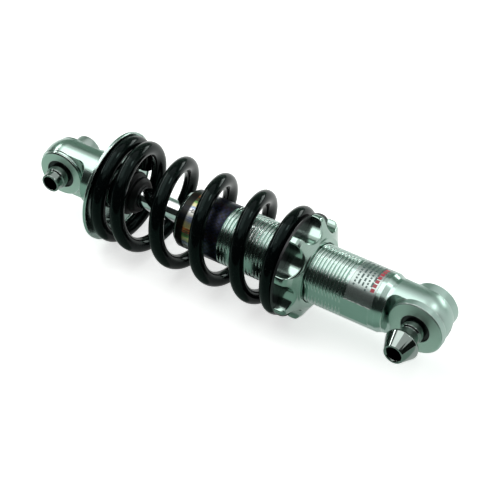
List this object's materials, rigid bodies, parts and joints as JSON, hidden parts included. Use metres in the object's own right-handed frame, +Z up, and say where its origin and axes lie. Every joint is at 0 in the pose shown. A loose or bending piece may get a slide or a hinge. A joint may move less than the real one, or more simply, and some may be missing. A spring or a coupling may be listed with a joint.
{
  "type": "rear shock absorber",
  "caption": "Coil-over rear shock absorber: black coil spring on a threaded alloy body, notched preload collar, and eyelets with steel sleeves at both ends.",
  "frame": {"origin": "centre of the body eye, on the axis of its sleeve", "axes": "+X along the shock from the rod eye to the body eye, Y along both eye sleeves with the near side at -Y, +Z up"},
  "size_m": [0.1879, 0.0464, 0.046],
  "materials": {
    "satin_alloy": "satin turned",
    "polished_alloy": "polished",
    "chrome": "hard chrome",
    "dark_steel": "black chrome",
    "spring_steel": "ground",
    "black_paint": "gloss black paint",
    "rubber": "moulded",
    "black_polymer": "moulded",
    "red_polymer": "moulded",
    "bronze": "sintered",
    "foil": "holographic foil",
    "label_foil": "pale foil"
  },
  "bodies": {
    "body": {"damper_body": "satin_alloy", "body_eye_bush": "black_polymer", "seal_head": "satin_alloy", "guide_bush": "bronze", "rod_seal": "rubber", "rod_wiper": "rubber", "head_ring": "rubber", "retaining_ring": "spring_steel", "charge_screw": "dark_steel", "foil_band": "foil", "body_label": "label_foil"},
    "gas_piston": {"floating_piston": "satin_alloy", "float_ring": "rubber"},
    "seat": {"spring_seat": "satin_alloy"},
    "rod": {"damper_rod": "chrome", "rod_eyelet": "satin_alloy", "rod_eye_bush": "black_polymer", "bump_stop": "rubber", "top_out_pad": "red_polymer", "rebound_shims": "spring_steel", "damping_piston": "satin_alloy", "piston_band": "black_polymer", "compression_shims": "spring_steel", "piston_nut": "spring_steel"},
    "preload": {"thrust_washer": "black_polymer", "coil_spring": "black_paint"},
    "collar": {"preload_collar": "polished_alloy"},
    "rod_sleeve": {"rod_eye_sleeve": "dark_steel"},
    "body_sleeve": {"body_eye_sleeve": "dark_steel"}
  },
  "joints": [
    {"name": "rod_slide", "type": "slide", "parent": "body", "child": "seat", "axis": [1, 0, 0], "range_m": [0, 0.016], "stiffness_N_per_m": 54700, "deforming": ["coil_spring"]},
    {"name": "rod_swivel", "type": "hinge", "parent": "seat", "child": "rod", "pos_m": [-0.165, 0, 0], "axis": [1, 0, 0], "continuous": true},
    {"name": "gas_piston_slide", "type": "slide", "parent": "body", "child": "gas_piston", "axis": [1, 0, 0], "range_m": [0, 0.0046]},
    {"name": "preload_slide", "type": "slide", "parent": "body", "child": "preload", "axis": [1, 0, 0], "range_m": [0, 0.006]},
    {"name": "collar_turn", "type": "hinge", "parent": "preload", "child": "collar", "pos_m": [-0.0515, 0, 0], "axis": [1, 0, 0], "range_deg": [0, 1441]},
    {"name": "rod_sleeve_turn", "type": "hinge", "parent": "rod", "child": "rod_sleeve", "pos_m": [-0.165, 0, 0], "axis": [0, 1, 0], "continuous": true},
    {"name": "body_sleeve_turn", "type": "hinge", "parent": "body", "child": "body_sleeve", "pos_m": [0, 0, 0], "axis": [0, 1, 0], "continuous": true}
  ],
  "couplings": [
    {"joint": "collar_turn", "follows": "preload_slide", "rad_per_m": 4188.8},
    {"joint": "gas_piston_slide", "follows": "rod_slide", "ratio": 0.28028}
  ]
}
